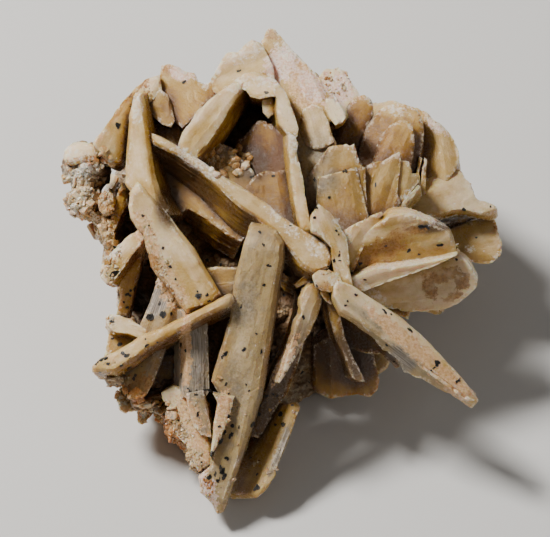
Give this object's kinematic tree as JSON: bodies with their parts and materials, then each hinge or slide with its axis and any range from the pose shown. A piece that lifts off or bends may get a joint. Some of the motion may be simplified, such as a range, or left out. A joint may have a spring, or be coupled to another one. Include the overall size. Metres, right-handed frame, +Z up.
{
  "type": "barite specimen",
  "caption": "Cluster of tabular barite blades grown through each other in a fan, on a low iron-stained matrix cut flat to rest on.",
  "frame": {"origin": "on the flat underside of the matrix, under the middle of the specimen", "axes": "+Z up from the surface it stands on, +Y away from the side that is seen, +X to the right of that side"},
  "size_m": [0.0999, 0.1073, 0.056],
  "materials": {
    "barite": "translucent honey and cream, satin faces with frosted edges and black specks",
    "matrix_crust": "rough, granular, iron-stained"
  },
  "bodies": {
    "root": {"blade_crystals": "barite", "matrix": "matrix_crust"}
  },
  "joints": []
}
